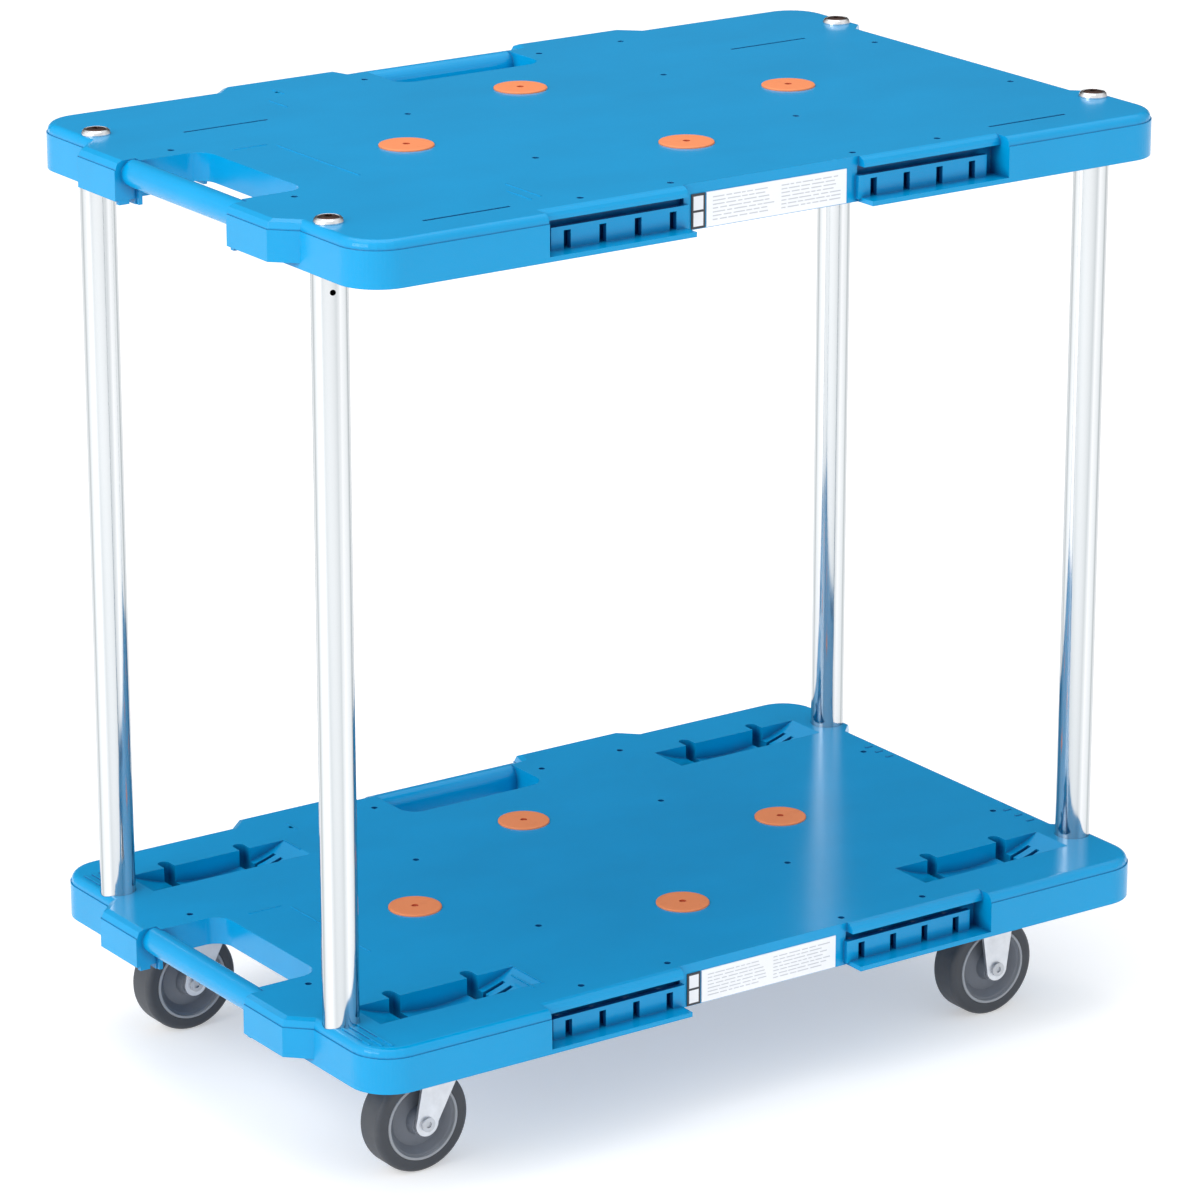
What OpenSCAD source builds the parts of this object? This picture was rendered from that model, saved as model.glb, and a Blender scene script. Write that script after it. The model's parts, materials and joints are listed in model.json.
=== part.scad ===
// Two-tier platform truck: two moulded decks on four tube posts,
// two swivel casters at the handle end and two rigid casters at the other.
// Units are mm. The floor is z = 0, X runs along the truck with the end
// handle at -X, the label side is -Y, and the outline is centred on the origin.

/* [Deck] */
// Length of the deck between its two short sides
deck_l = 670; // [600:1:840]
// Width of the deck between its two long sides
deck_w = 434; // [365:1:540]
// Thickness of a deck
deck_t = 32; // [29:1:38]
// Radius of the upright deck corners
corner_r = 30; // [20:1:40]
// Rounding of the top edge
edge_r = 5.5; // [3:0.5:6]
// How far the end handle stands out
end_out = 15.5; // [12:0.5:18]
// How far the side tabs stand out
side_out = 14; // [12:0.5:16]
// Thickness of the top skin
skin_t = 4; // [3:0.5:5]
// Thickness of the stiffening ribs under a deck
rib_t = 3; // [2:0.5:4]
// Diameter of the round deck pads
pad_d = 38.5; // [30:0.5:46]
// Height of the pads above the deck
pad_proud = 1.4; // [0.8:0.2:3]

/* [Posts] */
// Outside diameter of the post tubes
post_d = 25.4; // [22:0.1:27]
// Wall of the post tubes
post_wall = 1.2; // [0.8:0.1:2]
// Distance from the short side of the deck to the post centre
post_inset = 15; // [14:0.5:18]
// Distance between the two rows of posts
post_row_gap = 302; // [288:1:330]
// Height from the top of the lower deck to the top of the upper deck
tier_gap = 558.5; // [400:0.5:700]

/* [Casters] */
// Wheel diameter
wheel_d = 75; // [65:1:80]
// Wheel width
wheel_w = 24; // [20:1:28]
// Height of the caster plate above the floor
caster_h = 100; // [97:1:110]
// How far the plate sits above the underside of the deck
plate_sunk = 13; // [11:1:15]
// Distance between the kingpin and the wheel axle
trail = 31; // [25:1:36]
// Distance between the front and rear casters
caster_gauge = 310; // [296:1:320]
// Distance between the swivel and the rigid casters
caster_base = 468; // [440:1:476]

/* [Hidden] */
$fn = 48;
fit_gap = 0.1;            // clearance round a tube or plug that is fixed
pin_gap = 0.06;           // radial clearance of a turning pin
seat_gap = 0.3;           // gap between turning faces

lower_z = caster_h - plate_sunk;          // underside of the lower deck
lower_top = lower_z + deck_t;
upper_z = lower_z + tier_gap;             // underside of the upper deck
upper_top = upper_z + deck_t;

crown_step = 0.8;         // how far the rounded crown stands in from the skirt under it
skirt_top = deck_t - edge_r - 1;          // height of the small ledge round a deck

half_l = deck_l / 2;
half_w = deck_w / 2;
post_x = half_l - post_inset;
post_y = post_row_gap / 2;
caster_x = caster_base / 2;
caster_y = caster_gauge / 2;

// end handle and side handle
grip_r = 9.5;             // radius of a handle bar
grip_drop = 10;           // depth of a bar's axis under the deck top
end_set = 5;              // how far the end bar sits behind the blocks beside it
side_set = 9;             // how far the side bar sits behind the tabs beside it
grip_half = 73;           // half the free length of the end bar
hand_half = 66;           // half the length of a hand hole
end_reach = 51;           // inner edge of the end hand hole, from the short side
side_reach = 54;          // inner edge of the side hand hole, from the long side
hand_wall = 20;           // height of the wall round a hand hole
hand_corner = 14;
block_half = 124;         // half the length of the end handle at its outer face
block_rise = 4;           // how far the handle blocks end above the underside
tab_in = 72;              // near end of a side tab
tab_end = 187;            // far end of a side tab
tab_slant = 15;
recess_gap = 0.5;         // how much deeper the end recess is than the end handle

// label side
label_deep = 17;          // depth of the label recess
label_half = 73.5;
pocket_end = 191.5;       // far end of the ribbed pockets
pocket_deep = 21;
roof_back = 10;           // how far the roof of a pocket sits behind the side face
roof_t = 7;
roof_round = 6;           // depth of the rounded edge of that roof
lip_t = 3.5;
rail_mid = 126.4;
rail_half = 55.5;
rail_back = 13;           // how far the ribbed rail sits behind the side face
rail_t = 4;
rail_drop = 13;           // how far the rail ends under the deck top
groove_w = 5.5;
groove_step = 28.4;

// caster wells in the lower deck
well_half = 66.5;
well_w = 36;
well_deep = deck_t - plate_sunk - 4;
well_r = (well_half * well_half + well_deep * well_deep) / (2 * well_deep);
well_y = caster_gauge / 2 - 3;
slot_x = 32;              // the two slots of a well, either side of its middle
slot_w = 9;

// caster plates
plate_l = 96;
plate_w = 64;
plate_t = 3;
screw_x = 41;
screw_y = 25;
leg_t = 2.5;
leg_in = wheel_w / 2 + 3;
axle_r = 4;
axle_z = wheel_d / 2;
pin_r = 6;

socket_floor = 6;

// ---------------------------------------------------------------- helpers

// the handles stand out at -X and +Y, so the outline is moved back to centre
module place() {
    translate([end_out / 2, -side_out / 2, 0]) children();
}

// a box given by its two opposite corners
module block(low, high) {
    translate(low) cube([for (i = [0:2]) high[i] - low[i]]);
}

// an upright corner of the crown, with a rounded top edge
module puck(x, y) {
    r = corner_r - crown_step;
    translate([x, y, 0]) {
        cylinder(r = r, h = deck_t - edge_r, $fn = 32);
        translate([0, 0, deck_t - edge_r])
            rotate_extrude($fn = 32) translate([r - edge_r, 0]) circle(edge_r, $fn = 32);
    }
}

// one rounded slot standing upright, from one end to the other along Y
module slot(x, y_low, y_high, width, z_low, z_high) {
    translate([0, 0, z_low]) linear_extrude(z_high - z_low) union() {
        translate([x - width / 2, y_low]) square([width, y_high - y_low]);
        for (y = [y_low, y_high]) translate([x, y]) circle(width / 2);
    }
}

// ------------------------------------------------------------------ deck

// main plate with four round corners: a skirt and a rounded crown standing in a little
module deck_plate() {
    hull() for (x = [-1, 1]) for (y = [-1, 1])
        translate([x * (half_l - corner_r), y * (half_w - corner_r), 0])
            cylinder(r = corner_r, h = skirt_top, $fn = 64);
    hull() for (x = [-1, 1]) for (y = [-1, 1])
        puck(x * (half_l - corner_r), y * (half_w - corner_r));
}

// prism over a plan shape, with the same skirt and rounded crown as the plate
module soft_prism(low) {
    translate([0, 0, low]) linear_extrude(skirt_top - low) children();
    hull() for (step = [[0, edge_r], [0.3 * edge_r, 0.3 * edge_r], [edge_r, 0]])
        translate([0, 0, skirt_top - 1]) linear_extrude(deck_t - skirt_top + 1 - step[1])
            offset(delta = -crown_step - step[0]) children();
}

// plan shape of the end handle, with slanted ends; it reaches well into the deck
module end_tab_plan() {
    polygon([
        [-half_l + 14, -block_half - end_out - 14], [-half_l - end_out, -block_half],
        [-half_l - end_out, block_half], [-half_l + 14, block_half + end_out + 14]
    ]);
}

// plan shape of one coupling tab on the far long side
module side_tab_plan() {
    polygon([
        [tab_in - 4, half_w - 14], [tab_in + 5, half_w + side_out],
        [tab_end - tab_slant, half_w + side_out], [tab_end + 15, half_w - 14]
    ]);
}

// recess in the right short side that takes the end handle of another truck
module end_recess_plan() {
    floor_x = half_l - end_out - recess_gap;
    half = block_half + 2;
    polygon([
        [floor_x, -half], [half_l + 2, -half - end_out - recess_gap - 2],
        [half_l + 2, half + end_out + recess_gap + 2], [floor_x, half]
    ]);
}

module rect(low, high) {
    translate(low) square([high[0] - low[0], high[1] - low[1]]);
}

// places where the underside stays solid
module solid_places(with_casters) {
    for (x = [-1, 1]) for (y = [-1, 1]) {
        rect([x * post_x - 24, y * post_y - 22], [x * post_x + 24, y * post_y + 22]);
        if (with_casters)
            rect([x * caster_x - 72, y * caster_y - 42], [x * caster_x + 72, y * caster_y + 42]);
    }
    rect([-half_l - 20, -hand_half - 4], [-half_l + end_reach + 4, hand_half + 4]);
    rect([-hand_half - 4, half_w - side_reach - 4], [hand_half + 4, half_w + 20]);
    rect([-pocket_end - 4, -half_w - 1], [pocket_end + 4, -half_w + pocket_deep + 4]);
    rect([half_l - end_out - 5, -block_half - end_out - 8], [half_l + 1, block_half + end_out + 8]);
}

// hollow cells between the ribs under a deck
module cells(with_casters) {
    columns = round(deck_l / 67);
    rows = round(deck_w / 62);
    step_x = (deck_l - 2 * skin_t + rib_t) / columns;
    step_y = (deck_w - 2 * skin_t + rib_t) / rows;
    translate([0, 0, -1]) linear_extrude(deck_t - skin_t + 1)
        offset(delta = 3) offset(delta = -3) difference() {
            intersection() {
                for (i = [0:columns - 1]) for (j = [0:rows - 1])
                    translate([(i - (columns - 1) / 2) * step_x, (j - (rows - 1) / 2) * step_y])
                        square([step_x - rib_t, step_y - rib_t], center = true);
                octagon(half_l - skin_t, half_w - skin_t, 16);
            }
            solid_places(with_casters);
        }
}

// rectangle with cut corners, given by its half sizes
module octagon(x, y, cut) {
    polygon([
        [-x + cut, -y], [x - cut, -y], [x, -y + cut], [x, y - cut],
        [x - cut, y], [-x + cut, y], [-x, y - cut], [-x, -y + cut]
    ]);
}

// plan of a hand hole: open to +Y, with two round inner corners
module hand_hole_plan(half, reach) {
    rect([-half, -reach + hand_corner], [half, 12]);
    rect([-half + hand_corner, -reach], [half - hand_corner, 0]);
    for (x = [-1, 1]) translate([x * (half - hand_corner), -reach + hand_corner]) circle(hand_corner);
}

// hand hole behind the end handle, and the room under it for the fingers
module end_hand_hole() {
    low = deck_t - hand_wall;
    translate([-half_l, 0, -1]) rotate(90) linear_extrude(deck_t + 2) hand_hole_plan(hand_half, end_reach);
    block([-half_l - end_out - 2, -grip_half, -1], [-half_l + 1, grip_half, deck_t + 1]);
    block([-half_l - 2, -hand_half - 4, -1], [-half_l + end_reach + 28, hand_half + 4, low]);
    block([-half_l + 30, -96, -1], [-half_l + end_reach + 28, 96, low]);
}

// hand hole behind the side handle
module side_hand_hole() {
    translate([0, half_w, -1]) linear_extrude(deck_t + 2) hand_hole_plan(hand_half - 4, side_reach);
}

module end_grip() {
    axis_x = -half_l - end_out + end_set + grip_r;
    translate([axis_x, grip_half + 3, deck_t - grip_drop]) rotate([90, 0, 0])
        cylinder(r = grip_r, h = 2 * grip_half + 6);
    for (y = [-1, 1]) translate([0, y * (grip_half + 2), 0])
        block([-half_l - end_out + 3, -2, block_rise - 3], [-half_l - end_out + 11, 2, block_rise + 4]);
}

// the side handle is an upright oval
module side_grip() {
    axis_y = half_w + side_out - side_set - grip_r;
    hull() for (drop = [grip_drop, grip_drop + 6])
        translate([-hand_half, axis_y, deck_t - drop]) rotate([0, 90, 0])
            cylinder(r = grip_r, h = 2 * hand_half, $fn = 32);
}

// label recess and the two ribbed pockets that take the tabs of another deck
module label_side_cuts() {
    face = -half_w;
    block([-label_half, face - 1, -1], [label_half, face + label_deep, deck_t + 1]);
    for (side = [-1, 1]) {
        low = side < 0 ? -pocket_end : label_half - 1;
        high = side < 0 ? -label_half + 1 : pocket_end;
        block([low, face - 1, lip_t], [high, face + roof_back + roof_round, deck_t + 1]);
        block([low, face - 1, lip_t], [high, face + pocket_deep, deck_t - roof_t]);
    }
}

// rounded front edge of the roof over the right pocket
module roof_edge() {
    back = -half_w + roof_back + roof_round;
    translate([label_half, back, deck_t]) rotate([90, 0, 90]) linear_extrude(pocket_end + 0.5 - label_half)
        polygon([
            [0.5, 0], [0, 0], [-0.42 * roof_round, -0.6], [-0.75 * roof_round, -2.2],
            [-0.95 * roof_round, -4.4], [-roof_round, -roof_t], [0.5, -roof_t]
        ]);
}

// ribbed rail standing in a pocket, cut through by four upright grooves
module rail(mid) {
    face = -half_w + rail_back;
    difference() {
        block([mid - rail_half, face, lip_t - 1], [mid + rail_half, face + rail_t, deck_t - rail_drop]);
        for (i = [-1.5:1:1.5])
            block([mid + i * groove_step - groove_w / 2, face - 1, lip_t],
                  [mid + i * groove_step + groove_w / 2, face + rail_t + 1, deck_t - rail_drop - 3]);
    }
}

// sunk well over a caster: curved floor, two slots and three short grooves on one ramp
module well(x, y) {
    translate([x, y + well_w / 2, deck_t - well_deep + well_r]) rotate([90, 0, 0])
        cylinder(r = well_r, h = well_w, $fn = 160);
    for (i = [-1, 1])
        slot(x + i * slot_x, y - 4, y + well_w / 2 + 8, slot_w, plate_sunk - 1, deck_t + 1);
    for (j = [-1:1])
        block([x + 36, y + j * 10 - 1.8, deck_t - well_deep], [x + 53, y + j * 10 + 1.8, deck_t + 1]);
}

// narrow slot beside the place of a caster on the upper deck
module well_mark(x, y) {
    block([x - 34, y - 32.3, deck_t - 2], [x + 34, y - 29.8, deck_t + 1]);
}

// small blind holes in the deck top: [x, y]
pin_holes = concat(
    [for (x = [-1, 1]) for (y = [-1, 1]) [x * (half_l - 33), y * 80]],
    [for (x = [-1, 1]) for (y = [-1, 1]) [x * 110, y * 80]],
    [for (x = [-149, -76, 76, 149]) for (y = [-1, 1]) [x, y * (half_w - 27)]]
);

pad_spots = [[-162.6, 0], [162.6, 0], [0, -102], [0, 102]];

// short raised lines of the lower deck: two groups beside the end recess, three at each left corner
module ridges() {
    x = half_l - end_out - 8;
    for (y = [-112, -98.5, -85, 60, 73, 86])
        block([x - 3, y - 1, deck_t - 1], [x + 3, y + 1, deck_t + 0.8]);
    for (side = [-1, 1]) for (i = [-1:1])
        translate([-half_l + 15 + 6 * i, side * (half_w - 40), deck_t - 1])
            block([-1, -11, 0], [1, 11, 1.8]);
}

// the shape both decks share, underside at z = 0
module deck_shell(with_casters) {
    difference() {
        union() {
            deck_plate();
            soft_prism(block_rise) end_tab_plan();
            for (x = [0, 1]) mirror([x, 0, 0]) soft_prism(lip_t + 3) side_tab_plan();
        }
        cells(with_casters);
        translate([0, 0, -1]) linear_extrude(deck_t + 2) end_recess_plan();
        end_hand_hole();
        side_hand_hole();
        label_side_cuts();
        for (p = pin_holes) translate([p[0], p[1], deck_t - 3]) cylinder(r = 2.4, h = 5);
        for (p = pad_spots) translate([p[0], p[1], 0]) {
            translate([0, 0, deck_t - 1]) cylinder(r = pad_d / 2 + 0.1, h = 5);
            cylinder(r = 4.1, h = deck_t + 1);
        }
    }
    end_grip();
    side_grip();
    if (with_casters) ridges();
    for (side = [-1, 1]) rail(side * rail_mid);
    for (x = [0, 1]) mirror([x, 0, 0]) roof_edge();
}

// holes for the caster screws and the room for the plate and the fork crown
module caster_seat(x, y) {
    block([x - plate_l / 2 - 4, y - plate_w / 2 - 4, -1], [x + plate_l / 2 + 4, y + plate_w / 2 + 4, plate_sunk]);
    for (i = [-1, 1]) for (j = [-1, 1])
        translate([x + i * screw_x, y + j * screw_y, plate_sunk - 1]) cylinder(r = 3.05, h = 12);
}

module lower_deck() {
    color([0.0, 0.60, 0.86]) place() translate([0, 0, lower_z]) difference() {
        deck_shell(true);
        for (x = [-1, 1]) for (y = [-1, 1]) {
            caster_seat(x * caster_x, y * caster_y);
            well(x * caster_x, y * well_y);
            translate([x * post_x, y * post_y, socket_floor])
                cylinder(r = post_d / 2 + fit_gap, h = deck_t);
            translate([x * post_x, y * post_y, -1]) cylinder(r = 3.1, h = deck_t);
            translate([x * post_x, y * post_y, -1]) cylinder(r = 7, h = 4);
        }
    }
}

module upper_deck() {
    color([0.0, 0.60, 0.86]) place() translate([0, 0, upper_z]) difference() {
        deck_shell(false);
        for (x = [-1, 1]) for (y = [-1, 1]) {
            well_mark(x * caster_x, y * well_y);
            translate([x * post_x, y * post_y, -1])
                cylinder(r = post_d / 2 + fit_gap, h = deck_t - socket_floor + 1);
            translate([x * post_x, y * post_y, 0]) cylinder(r = 3.1, h = deck_t + 1);
        }
    }
}

// ---------------------------------------------------------- deck fittings

// round pad with a dimple and a peg through the deck skin
module pads(z_top) {
    r = pad_d / 2;
    color([0.90, 0.50, 0.30]) place() for (p = pad_spots) translate([p[0], p[1], z_top - 1]) difference() {
        union() {
            rotate_extrude($fn = 64) polygon([
                [0, 0], [r, 0], [r, pad_proud + 0.3], [r - 0.3, pad_proud + 0.7],
                [r - 1, pad_proud + 0.95], [r - 2, pad_proud + 1], [0, pad_proud + 1]
            ]);
            translate([0, 0, -skin_t - 1]) cylinder(r = 4, h = skin_t + 2);
        }
        translate([0, 0, pad_proud - 0.2]) cylinder(r = 2.6, h = 3);
    }
}

module label_plate(z_low, x_low, x_high) {
    face = -half_w + label_deep;
    place() block([x_low, face - 0.8, z_low + 0.6], [x_high, face, z_low + deck_t - 7.5]);
}

module label(z_low) {
    color([0.93, 0.94, 0.95]) label_plate(z_low, -54, 63);
}

module label_tag(z_low) {
    color([0.12, 0.12, 0.14]) label_plate(z_low, -66.5, -55.2);
}

// ------------------------------------------------------------------ posts

post_low = lower_z + socket_floor;
post_high = upper_z + deck_t - socket_floor;
plug_l = 15;

module post(x, y, vent) {
    color([0.80, 0.82, 0.84]) place() translate([x, y, post_low]) difference() {
        cylinder(r = post_d / 2, h = post_high - post_low);
        translate([0, 0, -1]) cylinder(r = post_d / 2 - post_wall, h = post_high - post_low + 2);
        if (vent) translate([0, 0, upper_z - post_low - 12]) rotate([90, 0, -22])
            cylinder(r = 2, h = post_d);
    }
}

module at_posts(z) {
    place() for (x = [-1, 1]) for (y = [-1, 1]) translate([x * post_x, y * post_y, z]) children();
}

// threaded plug inside a tube end
module plug() {
    difference() {
        cylinder(r = post_d / 2 - post_wall - fit_gap, h = plug_l);
        translate([0, 0, -1]) cylinder(r = 3.05, h = plug_l + 2);
    }
}

module post_foot_plugs() {
    color([0.35, 0.35, 0.37]) at_posts(post_low) plug();
}

module post_top_plugs() {
    color([0.35, 0.35, 0.37]) at_posts(post_high - plug_l) plug();
}

module post_foot_screws() {
    color([0.75, 0.76, 0.78]) at_posts(lower_z) {
        translate([0, 0, 0.2]) difference() {
            cylinder(r = 6, h = 2.8);
            translate([0, 0, -1]) cylinder(r = 2.5, h = 2.4, $fn = 6);
        }
        translate([0, 0, 2.5]) cylinder(r = 3, h = socket_floor + plug_l - 4);
    }
}

// dished washer that the cap screw sits in
module post_cap_washers() {
    color([0.85, 0.86, 0.87]) at_posts(upper_top) rotate_extrude($fn = 64) polygon([
        [3.1, 0], [10.2, 0], [10.2, 1.0], [9.6, 2.6], [8.6, 3.6], [7.8, 3.8],
        [7.4, 3.2], [7.4, 1.6], [3.1, 1.6]
    ]);
}

// low round screw head with a hexagon socket
module post_cap_screws() {
    head_z = 1.6;
    color([0.30, 0.22, 0.18]) at_posts(upper_top) {
        difference() {
            rotate_extrude() polygon([
                [0, head_z], [7.1, head_z], [7.1, head_z + 1.8], [6.5, head_z + 2.3],
                [4.6, head_z + 2.7], [0, head_z + 2.8]
            ]);
            translate([0, 0, head_z + 0.9]) cylinder(r = 2.8, h = 4, $fn = 6);
        }
        translate([0, 0, -socket_floor - plug_l + 3]) cylinder(r = 3, h = socket_floor + plug_l - 2.5 + head_z);
    }
}

// ---------------------------------------------------------------- casters

// pan-head screws that hold the caster plates
module caster_screws() {
    color([0.78, 0.78, 0.76]) place() for (x = [-1, 1]) for (y = [-1, 1]) for (i = [-1, 1]) for (j = [-1, 1])
        translate([x * caster_x + i * screw_x, y * caster_y + j * screw_y, caster_h - plate_t]) {
            translate([0, 0, -3]) difference() {
                cylinder(r = 5.2, h = 3);
                for (a = [0, 90]) rotate(a) block([-3, -0.5, -1], [3, 0.5, 1.2]);
            }
            translate([0, 0, -0.5]) cylinder(r = 3, h = plate_t + 10.5);
        }
}

module plate_shape() {
    translate([-plate_l / 2, -plate_w / 2, caster_h - plate_t]) cube([plate_l, plate_w, plate_t]);
}

module plate_holes() {
    for (i = [-1, 1]) for (j = [-1, 1])
        translate([i * screw_x, j * screw_y, caster_h - plate_t - 1]) cylinder(r = 3.1, h = plate_t + 2);
}

// heights inside a swivel head, from the plate down
race_low = caster_h - plate_t - 5;
crown_top = race_low - seat_gap;
crown_low = crown_top - 4.7;

module swivel_plate() {
    color([0.80, 0.80, 0.78]) difference() {
        plate_shape();
        plate_holes();
        translate([0, 0, caster_h - plate_t - 1]) cylinder(r = pin_r, h = plate_t + 2);
    }
}

// upper ball race, a ring pressed against the plate
module swivel_race() {
    color([0.72, 0.72, 0.70]) difference() {
        translate([0, 0, race_low]) cylinder(r = 25, h = 5);
        translate([0, 0, race_low - 1]) cylinder(r = 14, h = 7);
    }
}

module swivel_kingpin() {
    color([0.70, 0.70, 0.70]) {
        translate([0, 0, crown_low - 2]) cylinder(r = pin_r, h = caster_h - crown_low + 2);
        translate([0, 0, crown_low - seat_gap - 2.6]) cylinder(r = 10, h = 2.6);
    }
}

// side cheek of a fork: round foot at the axle, wide top; flat, upright, in the XZ plane
module cheek(foot_x, top_low, top_high, top_z) {
    a = [foot_x - 9, axle_z];
    b = [foot_x + 9, axle_z];
    rotate([90, 0, 0]) linear_extrude(leg_t, center = true) difference() {
        union() {
            translate([foot_x, axle_z]) circle(9);
            polygon([a, b, [top_high, top_z], [top_low, top_z]]);
        }
        translate([foot_x, axle_z]) circle(axle_r + 0.05);
    }
}

module cheeks(foot_x, top_low, top_high, top_z) {
    for (side = [-1, 1]) translate([0, side * (leg_in + leg_t / 2), 0])
        cheek(foot_x, top_low, top_high, top_z);
}

module swivel_fork() {
    color([0.82, 0.82, 0.80]) {
        cheeks(-trail, -30, 6, crown_low + 2);
        difference() {
            union() {
                translate([0, 0, crown_low]) cylinder(r = 26, h = 3);
                translate([0, 0, crown_low]) cylinder(r = 23, h = crown_top - crown_low);
                block([-30, -leg_in - leg_t, crown_low], [6, leg_in + leg_t, crown_low + 3]);
            }
            translate([0, 0, crown_low - 1]) cylinder(r = pin_r + pin_gap, h = 8);
        }
    }
}

module rigid_fork() {
    color([0.82, 0.82, 0.80]) {
        cheeks(0, -18, 18, caster_h - plate_t + 1);
        difference() {
            plate_shape();
            plate_holes();
        }
    }
}

// axle rivet with a low head at each end, dimpled in the middle
module axle() {
    head_y = leg_in + leg_t;
    color([0.78, 0.78, 0.78]) translate([0, 0, axle_z]) rotate([90, 0, 0]) difference() {
        union() {
            cylinder(r = axle_r, h = 2 * head_y + 2, center = true);
            for (side = [-1, 1]) translate([0, 0, side * (head_y + 1)]) cylinder(r = 5.2, h = 2, center = true);
        }
        for (side = [-1, 1]) translate([0, 0, side * (head_y + 2)]) cylinder(r = 2.2, h = 2.4, center = true);
    }
}

hub_r = wheel_d / 2 - 9;

// half section of the hub: [radius, distance from the wheel's middle plane]
function hub_side(s) = [
    [10, s * (leg_in - 0.4)], [11, s * 7], [20, s * 4.5], [24.5, s * (wheel_w / 2 - 2.5)],
    [hub_r - 2.6, s * (wheel_w / 2 - 1.6)], [hub_r - 2.2, s * (wheel_w / 2 + 0.3)],
    [hub_r - 0.4, s * (wheel_w / 2 + 0.3)], [hub_r, s * (wheel_w / 2 - 1)]
];

module hub() {
    one = hub_side(1);
    other = hub_side(-1);
    bore = axle_r + pin_gap;
    color([0.45, 0.47, 0.49]) translate([0, 0, axle_z]) rotate([90, 0, 0]) rotate_extrude($fn = 96)
        polygon(concat([[bore, -(leg_in - 0.4)], [bore, leg_in - 0.4]], one,
            [for (i = [len(other) - 1:-1:0]) other[i]]));
}

module tyre() {
    outer = wheel_d / 2;
    side = wheel_w / 2;
    shoulder = 4.2;
    color([0.22, 0.24, 0.26]) translate([0, 0, axle_z]) rotate([90, 0, 0]) rotate_extrude($fn = 96)
        union() {
            translate([hub_r, -side]) square([outer - shoulder - hub_r, wheel_w]);
            translate([hub_r, -side + shoulder]) square([outer - hub_r, wheel_w - 2 * shoulder]);
            for (s = [-1, 1]) translate([outer - shoulder, s * (side - shoulder)]) circle(shoulder);
        }
}

module at_swivel(side) {
    place() translate([-caster_x, side * caster_y, 0]) children();
}

module at_swivel_wheel(side) {
    place() translate([-caster_x - trail, side * caster_y, 0]) children();
}

module at_rigid(side) {
    place() translate([caster_x, side * caster_y, 0]) children();
}

// ------------------------------------------------------------------ nodes

lower_deck();
upper_deck();
pads(lower_top);  // lower_deck_pads
pads(upper_top);  // upper_deck_pads
label(lower_z);  // lower_label
label(upper_z);  // upper_label
label_tag(lower_z);  // lower_label_tag
label_tag(upper_z);  // upper_label_tag
post(-post_x, -post_y, true);  // post_front_left
post(post_x, -post_y, false);  // post_front_right
post(-post_x, post_y, false);  // post_rear_left
post(post_x, post_y, false);  // post_rear_right
post_foot_plugs();
post_top_plugs();
post_foot_screws();
post_cap_washers();
post_cap_screws();
caster_screws();
at_swivel(-1) swivel_plate();  // swivel_front_plate
at_swivel(-1) swivel_race();  // swivel_front_race
at_swivel(-1) swivel_kingpin();  // swivel_front_kingpin
at_swivel(-1) swivel_fork();  // swivel_front_fork
at_swivel_wheel(-1) axle();  // swivel_front_axle
at_swivel_wheel(-1) hub();  // swivel_front_hub
at_swivel_wheel(-1) tyre();  // swivel_front_tyre
at_swivel(1) swivel_plate();  // swivel_rear_plate
at_swivel(1) swivel_race();  // swivel_rear_race
at_swivel(1) swivel_kingpin();  // swivel_rear_kingpin
at_swivel(1) swivel_fork();  // swivel_rear_fork
at_swivel_wheel(1) axle();  // swivel_rear_axle
at_swivel_wheel(1) hub();  // swivel_rear_hub
at_swivel_wheel(1) tyre();  // swivel_rear_tyre
at_rigid(-1) rigid_fork();  // rigid_front_fork
at_rigid(-1) axle();  // rigid_front_axle
at_rigid(-1) hub();  // rigid_front_hub
at_rigid(-1) tyre();  // rigid_front_tyre
at_rigid(1) rigid_fork();  // rigid_rear_fork
at_rigid(1) axle();  // rigid_rear_axle
at_rigid(1) hub();  // rigid_rear_hub
at_rigid(1) tyre();  // rigid_rear_tyre
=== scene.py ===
"""Looks of the two-tier platform truck: materials, small surface details, studio and camera."""

import json
import math
import random

import bpy
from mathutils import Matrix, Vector


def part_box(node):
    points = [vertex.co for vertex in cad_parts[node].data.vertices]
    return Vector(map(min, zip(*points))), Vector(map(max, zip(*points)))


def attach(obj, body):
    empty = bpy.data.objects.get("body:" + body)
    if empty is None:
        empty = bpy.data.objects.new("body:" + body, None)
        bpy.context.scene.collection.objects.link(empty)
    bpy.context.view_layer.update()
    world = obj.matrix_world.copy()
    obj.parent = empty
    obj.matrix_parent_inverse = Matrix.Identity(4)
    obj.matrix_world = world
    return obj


MM = 0.001

# the truck
HANDLE_OUT = 15.5 * MM  # how far the end handle stands out of a deck's short side
DECK_THICK = 32 * MM
LINE_WIDTH = 1.2  # width of a raised line on a deck, in mm
LINE_RISE = 0.4  # its height, in mm
PRINT_LIFT = 0.05 * MM  # how far the printing lies in front of its label

# how far round itself a surface looks for crevices to darken with painted shade
DECK_SHADE_REACH = 12 * MM
PAD_SHADE_REACH = 3 * MM

# the studio
WHITE = (1, 1, 1, 1)
FLOOR_HALF = 30
FLOOR_GLOW = 0.42
SKY_STRENGTH = 1.12
CAMERA_AZIMUTH = -34.73
CAMERA_ELEVATION = 18.09
CAMERA_PLACE = (-2.1302, -3.0884, 1.5455)
CAMERA_LENS = 164.4

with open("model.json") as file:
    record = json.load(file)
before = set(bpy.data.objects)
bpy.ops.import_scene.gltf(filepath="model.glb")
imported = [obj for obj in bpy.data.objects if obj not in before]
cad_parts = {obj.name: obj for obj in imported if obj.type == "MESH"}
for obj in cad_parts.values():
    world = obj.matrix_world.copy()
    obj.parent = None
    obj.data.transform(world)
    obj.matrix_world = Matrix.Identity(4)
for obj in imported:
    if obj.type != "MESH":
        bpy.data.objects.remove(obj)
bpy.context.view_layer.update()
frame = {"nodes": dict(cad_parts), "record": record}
random.seed(7)


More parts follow.
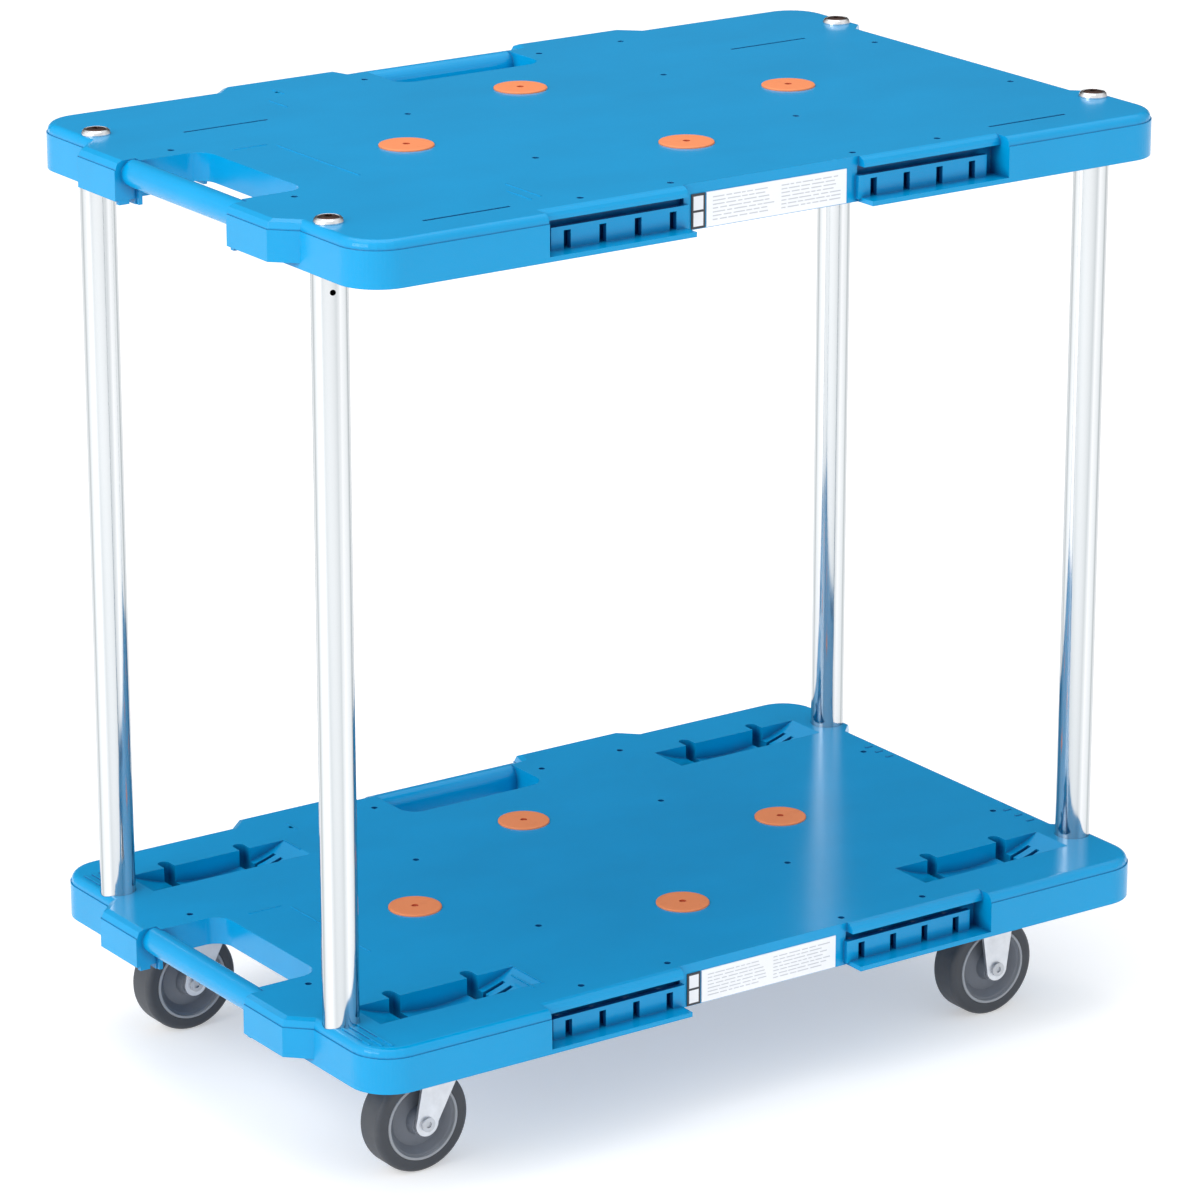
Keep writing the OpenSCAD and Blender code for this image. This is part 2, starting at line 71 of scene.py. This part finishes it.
# ------------------------------------------------------------------ material helpers


def fill_ramp(ramp, stops):
    """Sets a colour ramp from (position, colour) pairs in rising order."""
    elements = ramp.elements
    for element, (position, colour) in ((elements[0], stops[0]), (elements[1], stops[-1])):
        element.position = position
        element.color = colour
    for position, colour in stops[1:-1]:
        elements.new(position).color = colour


class Graph:
    """One material and the nodes that make it."""

    def __init__(self, name):
        self.material = bpy.data.materials.new(name)
        self.material.use_nodes = True
        self.tree = self.material.node_tree
        self.tree.nodes.clear()
        self.output = self.tree.nodes.new("ShaderNodeOutputMaterial")
        self.place = self.add("ShaderNodeTexCoord").outputs["Object"]

    def add(self, kind, settings=None, **inputs):
        """Adds a node; an input is a value or another node's output."""
        node = self.tree.nodes.new(kind)
        for key, value in (settings or {}).items():
            setattr(node, key, value)
        for key, value in inputs.items():
            self.put(node.inputs[key.replace("_", " ")], value)
        return node

    def put(self, socket, value):
        """Sets an input socket, or links another node's output to it."""
        if isinstance(value, bpy.types.NodeSocket):
            self.tree.links.new(value, socket)
        else:
            socket.default_value = value

    def math(self, operation, a, b=0.0, clamp=False):
        node = self.add("ShaderNodeMath", {"operation": operation, "use_clamp": clamp})
        self.put(node.inputs[0], a)
        self.put(node.inputs[1], b)
        return node.outputs[0]

    def noise(self, scale, detail=3.0, roughness=0.5, stretch=(1, 1, 1)):
        """Noise of about 1 / scale metres, stretched along the axes by the factors given."""
        moved = self.add("ShaderNodeMapping", Vector=self.place, Scale=stretch)
        node = self.add(
            "ShaderNodeTexNoise", Vector=moved.outputs[0], Scale=scale, Detail=detail, Roughness=roughness
        )
        return node.outputs["Fac"]

    def ramp(self, value, stops):
        node = self.add("ShaderNodeValToRGB", Fac=value)
        fill_ramp(node.color_ramp, stops)
        return node.outputs[0]

    def span(self, value, low, high):
        """Maps 0..1 to low..high."""
        return self.add("ShaderNodeMapRange", Value=value, To_Min=low, To_Max=high).outputs[0]

    def mask(self, value, start, end):
        """0 below start, 1 above end."""
        return self.add("ShaderNodeMapRange", Value=value, From_Min=start, From_Max=end).outputs[0]

    def blend(self, share, a, b):
        """Mixes two colours."""
        node = self.add("ShaderNodeMix", {"data_type": "RGBA"}, Factor=share)
        self.put(node.inputs[6], a)
        self.put(node.inputs[7], b)
        return node.outputs[2]

    def bump(self, height, depth, strength=1.0, normal=None):
        node = self.add("ShaderNodeBump", Height=height, Distance=depth, Strength=strength)
        if normal is not None:
            self.put(node.inputs["Normal"], normal)
        return node.outputs[0]

    def soft_edges(self, radius):
        """Normal that rounds every sharp edge a little, as a moulding or a pressing has it."""
        return self.add("ShaderNodeBevel", {"samples": 6}, Radius=radius).outputs[0]

    def openness(self, reach):
        """1 in the open, less in a crevice, for painting shade into crevices; reach is how far round itself a
        point looks.
        """
        node = self.add("ShaderNodeAmbientOcclusion", {"samples": 8, "only_local": True}, Distance=reach)
        return node.outputs["AO"]

    def finish(self, **inputs):
        shader = self.add("ShaderNodeBsdfPrincipled", **inputs)
        self.tree.links.new(shader.outputs[0], self.output.inputs["Surface"])
        return self.material


def rgb(r, g, b):
    """Linear colour from a screen colour in 0..255."""

    def linear(c):
        c /= 255
        return c / 12.92 if c <= 0.04045 else ((c + 0.055) / 1.055) ** 2.4

    return (linear(r), linear(g), linear(b), 1)


def shade(colour, factor):
    """The same colour, darker or brighter."""
    return (*[min(1, c * factor) for c in colour[:3]], 1)


# ------------------------------------------------------------------ materials


def deck_plastic():
    """Glossy light-blue moulded plastic: faint flow marks, fine grain, light rubs, and painted shade that
    darkens the crevices.
    """
    g = Graph("deck_plastic")
    blue = rgb(0, 146, 202)
    flow = g.noise(9, 4, 0.55, (1, 1.6, 1))
    colour = g.blend(g.mask(flow, 0.3, 0.7), shade(blue, 0.96), shade(blue, 1.04))
    rubs = g.mask(g.noise(40, 8, 0.7, (1, 9, 1)), 0.64, 0.82)
    rubs_across = g.mask(g.noise(38, 8, 0.7, (11, 1, 1)), 0.66, 0.84)
    worn = g.math("MULTIPLY", g.math("ADD", rubs, rubs_across, True), 0.06)
    colour = g.blend(worn, colour, rgb(110, 190, 228))
    # painted shade: the blue turns deep blue where the surface is closed in, in crevices, slots and pockets
    colour = g.blend(g.mask(g.openness(DECK_SHADE_REACH), 0.20, 0.88), rgb(8, 48, 112), colour)
    gloss = g.math("ADD", g.span(g.noise(26, 5, 0.6), 0.15, 0.24), worn)
    grain = g.noise(1400, 2, 0.6)
    wave = g.bump(g.noise(14, 2, 0.4), 0.0006, 0.08, g.soft_edges(0.5 * MM))
    normal = g.bump(grain, 0.00003, 0.25, wave)
    return g.finish(Base_Color=colour, Roughness=gloss, Normal=normal, IOR=1.49, Specular_IOR_Level=0.32)


def pad_rubber():
    """Orange anti-slip rubber with a fine pebble grain, a little dirt and painted shade in its crevices."""
    g = Graph("pad_rubber")
    orange = rgb(226, 132, 82)
    dirt = g.mask(g.noise(60, 6, 0.7), 0.55, 0.80)
    colour = g.blend(g.math("MULTIPLY", dirt, 0.35), orange, rgb(190, 106, 70))
    # painted shade: the orange turns red-brown where the rubber is closed in, in its crevices
    colour = g.blend(g.mask(g.openness(PAD_SHADE_REACH), 0.55, 0.97), rgb(176, 62, 30), colour)
    pebble = g.add("ShaderNodeTexVoronoi", Vector=g.place, Scale=900).outputs["Distance"]
    normal = g.bump(pebble, 0.00012, 0.5, g.soft_edges(0.5 * MM))
    return g.finish(Base_Color=colour, Roughness=g.span(dirt, 0.55, 0.75), Normal=normal)


def chrome():
    """Bright plated tube: painted reflection bands, light and dark by how far the surface turns from the
    camera, hairlines along Z, faint haze and a few tiny pits.
    """
    g = Graph("post_chrome")
    # painted reflection: bands of colour picked by how far the surface turns from the camera, standing in for
    # the studio mirrored in the tube
    turned = g.add("ShaderNodeLayerWeight", Blend=0.5).outputs["Facing"]
    light_bands = g.ramp(turned, [
        (0.00, rgb(222, 225, 227)),
        (0.10, rgb(188, 193, 196)),
        (0.18, rgb(228, 230, 232)),
        (0.40, rgb(210, 214, 216)),
        (0.52, rgb(160, 166, 169)),
        (0.66, rgb(204, 208, 210)),
        (1.00, rgb(132, 138, 142)),
    ])
    haze = g.noise(7, 3, 0.5, (1, 1, 0.35))
    # the haze dulls the painted reflection bands towards grey
    colour = g.blend(g.math("MULTIPLY", g.mask(haze, 0.35, 0.7), 0.25), light_bands, rgb(202, 206, 209))
    hair = g.noise(900, 3, 0.6, (1, 1, 0.02))
    rough = g.math("ADD", g.span(haze, 0.06, 0.13), g.math("MULTIPLY", hair, 0.05))
    pits = g.mask(g.noise(520, 2, 0.5), 0.72, 0.80)
    normal = g.bump(g.math("SUBTRACT", hair, pits), 0.00002, 0.25)
    return g.finish(Base_Color=colour, Metallic=1.0, Roughness=rough, Normal=normal)


def cap_chrome():
    """Plated pressed steel of the dished washers."""
    g = Graph("cap_chrome")
    spots = g.noise(220, 4, 0.6)
    colour = g.blend(spots, rgb(200, 202, 205), rgb(232, 233, 235))
    normal = g.bump(g.noise(700, 3, 0.6), 0.00003, 0.3, g.soft_edges(0.3 * MM))
    return g.finish(Base_Color=colour, Metallic=1.0, Roughness=g.span(spots, 0.12, 0.26), Normal=normal)


def cap_screw():
    """Dark bronze screw, lighter where the tool has rubbed it."""
    g = Graph("cap_screw")
    rub = g.mask(g.noise(380, 5, 0.7), 0.52, 0.72)
    colour = g.blend(g.math("MULTIPLY", rub, 0.5), rgb(78, 52, 44), rgb(140, 112, 98))
    normal = g.bump(g.noise(900, 3, 0.6), 0.00005, 0.4, g.soft_edges(0.3 * MM))
    return g.finish(Base_Color=colour, Metallic=0.85, Roughness=g.span(rub, 0.32, 0.5), Normal=normal)


def zinc(name, bright, grain):
    """Zinc-plated steel: spangle, rolling marks and slightly dull patches."""
    g = Graph(name)
    patch = g.noise(70, 5, 0.6)
    colour = g.blend(g.mask(patch, 0.3, 0.7), shade(bright, 0.86), shade(bright, 1.06))
    marks = g.noise(420, 4, 0.65, (1, 1, 0.12))
    rough = g.math("ADD", g.span(patch, 0.26, 0.40), g.math("MULTIPLY", marks, 0.06))
    normal = g.bump(marks, grain, 0.35, g.soft_edges(0.45 * MM))
    return g.finish(Base_Color=colour, Metallic=0.92, Roughness=rough, Normal=normal)


def wheel_radius(g, node):
    """Distance of a point from the axle of the wheel that the node belongs to."""
    low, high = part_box(node)
    moved = g.add("ShaderNodeVectorMath", {"operation": "SUBTRACT"})
    g.put(moved.inputs[0], g.place)
    g.put(moved.inputs[1], (low + high) / 2)
    flat = g.add("ShaderNodeVectorMath", {"operation": "MULTIPLY"})
    g.put(flat.inputs[0], moved.outputs[0])
    g.put(flat.inputs[1], (1, 0, 1))
    length = g.add("ShaderNodeVectorMath", {"operation": "LENGTH"})
    g.put(length.inputs[0], flat.outputs[0])
    return length.outputs["Value"]


def outer_radius(node):
    """Outer radius of a tyre or a hub."""
    low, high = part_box(node)
    return (high.z - low.z) / 2


def tyre_rubber(node):
    """Dark grey non-marking rubber: mould rings on the side, dust on the tread."""
    g = Graph("tyre_rubber_" + node)
    radius = wheel_radius(g, node)
    outer = outer_radius(node)
    dust = g.math("MULTIPLY", g.mask(radius, outer - 3 * MM, outer), g.mask(g.noise(90, 6, 0.7), 0.35, 0.75))
    colour = g.blend(g.noise(30, 4, 0.6), rgb(46, 50, 57), rgb(58, 62, 69))
    colour = g.blend(g.math("MULTIPLY", dust, 0.35), colour, rgb(104, 104, 104))
    rings = g.math("SINE", g.math("MULTIPLY", radius, 2 * math.pi / (1.1 * MM)))
    fine = g.noise(1500, 2, 0.6)
    normal = g.bump(g.math("MULTIPLY", rings, 0.5), 0.00006, 0.25)
    normal = g.bump(fine, 0.00006, 0.4, normal)
    return g.finish(Base_Color=colour, Roughness=g.span(dust, 0.48, 0.75), Normal=normal)


def hub_plastic(node):
    """Grey moulded hub: paler rim ring, turned marks round the boss."""
    g = Graph("hub_plastic_" + node)
    radius = wheel_radius(g, node)
    outer = outer_radius(node)
    ring = g.math("MULTIPLY", g.mask(radius, outer - 2.8 * MM, outer - 2.4 * MM), 0.85)
    colour = g.blend(g.noise(45, 4, 0.6), rgb(96, 101, 110), rgb(112, 117, 126))
    colour = g.blend(ring, colour, rgb(150, 154, 160))
    rings = g.math("SINE", g.math("MULTIPLY", radius, 2 * math.pi / (0.8 * MM)))
    normal = g.bump(rings, 0.00003, 0.2, g.soft_edges(0.5 * MM))
    normal = g.bump(g.noise(1300, 2, 0.6), 0.00004, 0.4, normal)
    return g.finish(Base_Color=colour, Roughness=g.span(g.noise(60, 4, 0.6), 0.36, 0.5), Normal=normal)


def film(name, colour, rough):
    """Printed film, with faint waviness where it is stuck down."""
    g = Graph(name)
    tone = g.noise(35, 4, 0.6)
    mixed = g.blend(tone, shade(colour, 0.95), shade(colour, 1.03))
    normal = g.bump(g.noise(60, 3, 0.5), 0.0002, 0.2)
    return g.finish(Base_Color=mixed, Roughness=g.span(tone, rough, rough + 0.12), Normal=normal)


def steel_plug():
    """Turned steel with rings from the tool."""
    g = Graph("plug_steel")
    turned = g.noise(900, 3, 0.6, (0.05, 0.05, 1))
    colour = g.blend(turned, rgb(120, 122, 126), rgb(160, 162, 166))
    normal = g.bump(turned, 0.00004, 0.4, g.soft_edges(0.3 * MM))
    return g.finish(Base_Color=colour, Metallic=0.9, Roughness=g.span(turned, 0.3, 0.45), Normal=normal)


def dress_cad():
    """Puts a material on every CAD node by its slot in the record."""
    shared = {
        "deck_plastic": deck_plastic(),
        "pad_rubber": pad_rubber(),
        "label_white": film("label_white", rgb(232, 235, 240), 0.35),
        "label_dark": film("label_dark", rgb(44, 46, 54), 0.3),
        "post_chrome": chrome(),
        "plug_steel": steel_plug(),
        "screw_zinc": zinc("screw_zinc", rgb(196, 198, 200), 0.00004),
        "cap_chrome": cap_chrome(),
        "cap_screw": cap_screw(),
        "caster_zinc": zinc("caster_zinc", rgb(214, 217, 222), 0.00005),
        "axle_steel": zinc("axle_steel", rgb(188, 191, 196), 0.00003),
    }
    for row in frame["record"]["subparts"]:
        node = frame["nodes"][row["node"]]
        slot = row["material_slot"]
        if slot == "tyre_rubber":
            material = tyre_rubber(row["node"])
        elif slot == "hub_plastic":
            material = hub_plastic(row["node"])
        else:
            material = shared[slot]
        node.data.materials.clear()
        node.data.materials.append(material)
    return shared


# ------------------------------------------------------------------ small pieces


def mesh_object(name, points, faces, material):
    """Links a new mesh object with one material."""
    mesh = bpy.data.meshes.new(name)
    mesh.from_pydata(points, [], faces)
    mesh.materials.append(material)
    thing = bpy.data.objects.new(name, mesh)
    bpy.context.scene.collection.objects.link(thing)
    return thing


def chassis_piece(name, points, faces, material):
    """A mesh that rides on the chassis."""
    piece = mesh_object(name, points, faces, material)
    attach(piece, "chassis")


def flat_piece(name, quads, material):
    """A piece from lists of four corners."""
    points = [p for quad in quads for p in quad]
    faces = [tuple(range(4 * i, 4 * i + 4)) for i in range(len(quads))]
    chassis_piece(name, points, faces, material)


def upright_quad(x0, x1, z0, z1, y):
    """A rectangle that faces -Y."""
    return [(x0, y, z0), (x1, y, z0), (x1, y, z1), (x0, y, z1)]


def label_prints(tier):
    """Grey bars in place of the printing on a label: no letters."""
    low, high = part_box(tier + "_label")
    ink = film("label_ink_" + tier, rgb(190, 194, 201), 0.4)
    line_high = 0.8 * MM
    line_step = 2.6 * MM
    shortest_room = 6 * MM
    quads = []
    for x0, x1 in ((low.x + 5 * MM, low.x + 56 * MM), (low.x + 62 * MM, high.x - 5 * MM)):
        z = high.z - 3.5 * MM
        while z > low.z + 3 * MM:
            x = x0
            while x < x1 - shortest_room:
                length = random.uniform(3, 11) * MM
                end = min(x + length, x1)
                quads.append(upright_quad(x, end, z - line_high, z, low.y - PRINT_LIFT))
                x = end + random.uniform(0.8, 1.8) * MM
            z -= line_step
    flat_piece(tier + "_label_print", quads, ink)


def tag_squares(tier):
    """The two pale squares of the dark tag."""
    low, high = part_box(tier + "_label_tag")
    pale = film("tag_pale_" + tier, rgb(225, 228, 233), 0.35)
    y = low.y - PRINT_LIFT
    edge = 1.6 * MM
    middle = (low.z + high.z) / 2
    quads = [
        upright_quad(low.x + edge, high.x - edge, low.z + edge, middle - edge / 2, y),
        upright_quad(low.x + edge, high.x - edge, middle + edge / 2, high.z - edge, y),
    ]
    flat_piece(tier + "_tag_squares", quads, pale)


def box_piece(name, spans, material):
    """A piece of closed boxes, from (low corner, high corner) pairs."""
    points = []
    faces = []
    for low, high in spans:
        first = len(points)
        points += [(x, y, z) for z in (low[2], high[2]) for y in (low[1], high[1]) for x in (low[0], high[0])]
        for face in ((0, 2, 3, 1), (4, 5, 7, 6), (0, 1, 5, 4), (2, 6, 7, 3), (0, 4, 6, 2), (1, 3, 7, 5)):
            faces.append(tuple(first + i for i in face))
    chassis_piece(name, points, faces, material)


def deck_lines(tier, plastic):
    """Fine raised lines on a deck top. Distances in mm from the handle side and from the label side."""
    low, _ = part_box(tier + "_deck")
    side_x = low.x + HANDLE_OUT
    top = low.z + DECK_THICK

    def bar(x0, x1, y0, y1, rise):
        """Low and high corner of a raised bar, sunk a little into the deck."""
        return (
            (side_x + x0 * MM, low.y + y0 * MM, top - 0.5 * MM),
            (side_x + x1 * MM, low.y + y1 * MM, top + rise * MM),
        )

    def across(x, y0, y1, width=LINE_WIDTH, rise=LINE_RISE):
        """A line along Y."""
        return bar(x - width / 2, x + width / 2, y0, y1, rise)

    spans = [
        across(100.1, 163, 268),
        bar(68, 95, 274 - LINE_WIDTH / 2, 274 + LINE_WIDTH / 2, LINE_RISE),
        across(167, 45, 87),
        across(157, 42, 70),
        across(167, 364, 387),
        across(187, 401, 416),
    ]
    if tier == "lower":
        # both ends of the three CAD ridges at the near corner, a little lower and narrower than those
        for x, reach in ((9, 20), (15, 14), (21, 10)):
            spans.append(across(x, reach, 28.9, 1.8, 0.75))
            spans.append(across(x, 51.1, 59, 1.8, 0.75))
    box_piece(tier + "_deck_lines", spans, plastic)


# ------------------------------------------------------------------ studio


def floor_material():
    """Pale floor that glows a little, so that shadows stay light."""
    g = Graph("studio_floor")
    tone = g.noise(1.2, 3, 0.5)
    colour = g.blend(tone, rgb(218, 218, 219), rgb(222, 222, 222))
    rough = g.span(tone, 0.75, 0.85)
    return g.finish(Base_Color=colour, Roughness=rough, Emission_Color=WHITE, Emission_Strength=FLOOR_GLOW)


def soft_lamp(name, place, target, size, power):
    """A square lamp turned to the target."""
    lamp = bpy.data.lights.new(name, "AREA")
    lamp.shape = "SQUARE"
    lamp.size = size
    lamp.energy = power
    holder = bpy.data.objects.new(name, lamp)
    holder.location = place
    holder.rotation_mode = "QUATERNION"
    holder.rotation_quaternion = (target - Vector(place)).to_track_quat("-Z", "Y")
    bpy.context.scene.collection.objects.link(holder)


def studio_sky():
    """White to the camera. As a light it has soft bands low down, darkest at the far corner."""
    world = bpy.data.worlds.new("studio")
    world.use_nodes = True
    tree = world.node_tree
    tree.nodes.clear()
    place = tree.nodes.new("ShaderNodeTexCoord")
    part = tree.nodes.new("ShaderNodeSeparateXYZ")
    tree.links.new(place.outputs["Generated"], part.inputs[0])

    angle = tree.nodes.new("ShaderNodeMath")
    angle.operation = "ARCTAN2"
    tree.links.new(part.outputs["Y"], angle.inputs[0])
    tree.links.new(part.outputs["X"], angle.inputs[1])
    turn = tree.nodes.new("ShaderNodeMapRange")
    turn.inputs["From Min"].default_value = -math.pi
    turn.inputs["From Max"].default_value = math.pi
    tree.links.new(angle.outputs[0], turn.inputs["Value"])
    light_bands = tree.nodes.new("ShaderNodeValToRGB")
    tree.links.new(turn.outputs[0], light_bands.inputs["Fac"])
    brightness = [
        (0.00, 1.30), (0.10, 1.10), (0.22, 0.95), (0.32, 0.80), (0.46, 0.70), (0.54, 0.30),
        (0.58, 0.10), (0.74, 0.10), (0.80, 0.45), (0.90, 1.20), (1.00, 1.30),
    ]
    fill_ramp(light_bands.color_ramp, [(position, (value, value, value, 1)) for position, value in brightness])

    rise = tree.nodes.new("ShaderNodeMapRange")
    rise.inputs["From Min"].default_value = 0.50
    rise.inputs["From Max"].default_value = 0.75
    tree.links.new(part.outputs["Z"], rise.inputs["Value"])
    sky = tree.nodes.new("ShaderNodeMix")
    sky.data_type = "RGBA"
    sky.inputs[7].default_value = WHITE
    tree.links.new(rise.outputs[0], sky.inputs[0])
    tree.links.new(light_bands.outputs[0], sky.inputs[6])

    seen = tree.nodes.new("ShaderNodeLightPath")
    backdrop = tree.nodes.new("ShaderNodeMix")
    backdrop.data_type = "RGBA"
    backdrop.inputs[7].default_value = WHITE
    tree.links.new(seen.outputs["Is Camera Ray"], backdrop.inputs[0])
    tree.links.new(sky.outputs[2], backdrop.inputs[6])

    light = tree.nodes.new("ShaderNodeBackground")
    light.inputs["Strength"].default_value = SKY_STRENGTH
    out = tree.nodes.new("ShaderNodeOutputWorld")
    tree.links.new(backdrop.outputs[2], light.inputs["Color"])
    tree.links.new(light.outputs[0], out.inputs["Surface"])
    return world


def studio():
    """A large pale floor, the sky and three soft lamps."""
    corners = [(x * FLOOR_HALF, y * FLOOR_HALF, 0) for x, y in ((-1, -1), (1, -1), (1, 1), (-1, 1))]
    mesh_object("floor", corners, [(0, 1, 2, 3)], floor_material())
    bpy.context.scene.world = studio_sky()
    centre = Vector((0, 0, 0.35))
    soft_lamp("key", (-2.8, -0.4, 1.8), centre, 1.6, 30)
    soft_lamp("top", (-0.3, 0.2, 3.0), centre, 2.4, 22)
    soft_lamp("fill", (1.6, -2.8, 1.2), centre, 2.0, 3)


def camera():
    """Looks down on the near left corner through a long lens."""
    azimuth = math.radians(CAMERA_AZIMUTH)
    elevation = math.radians(CAMERA_ELEVATION)
    back = Vector((
        math.sin(azimuth) * math.cos(elevation),
        -math.cos(azimuth) * math.cos(elevation),
        math.sin(elevation),
    ))
    data = bpy.data.cameras.new("camera")
    data.sensor_width = 36
    data.lens = CAMERA_LENS
    data.clip_end = 100
    holder = bpy.data.objects.new("camera", data)
    holder.location = CAMERA_PLACE
    holder.rotation_mode = "QUATERNION"
    holder.rotation_quaternion = (-back).to_track_quat("-Z", "Y")
    bpy.context.scene.collection.objects.link(holder)
    bpy.context.scene.camera = holder


looks = dress_cad()
for tier_name in ("lower", "upper"):
    deck_lines(tier_name, looks["deck_plastic"])
    label_prints(tier_name)
    tag_squares(tier_name)
studio()
camera()
bpy.context.scene.view_settings.view_transform = "Standard"
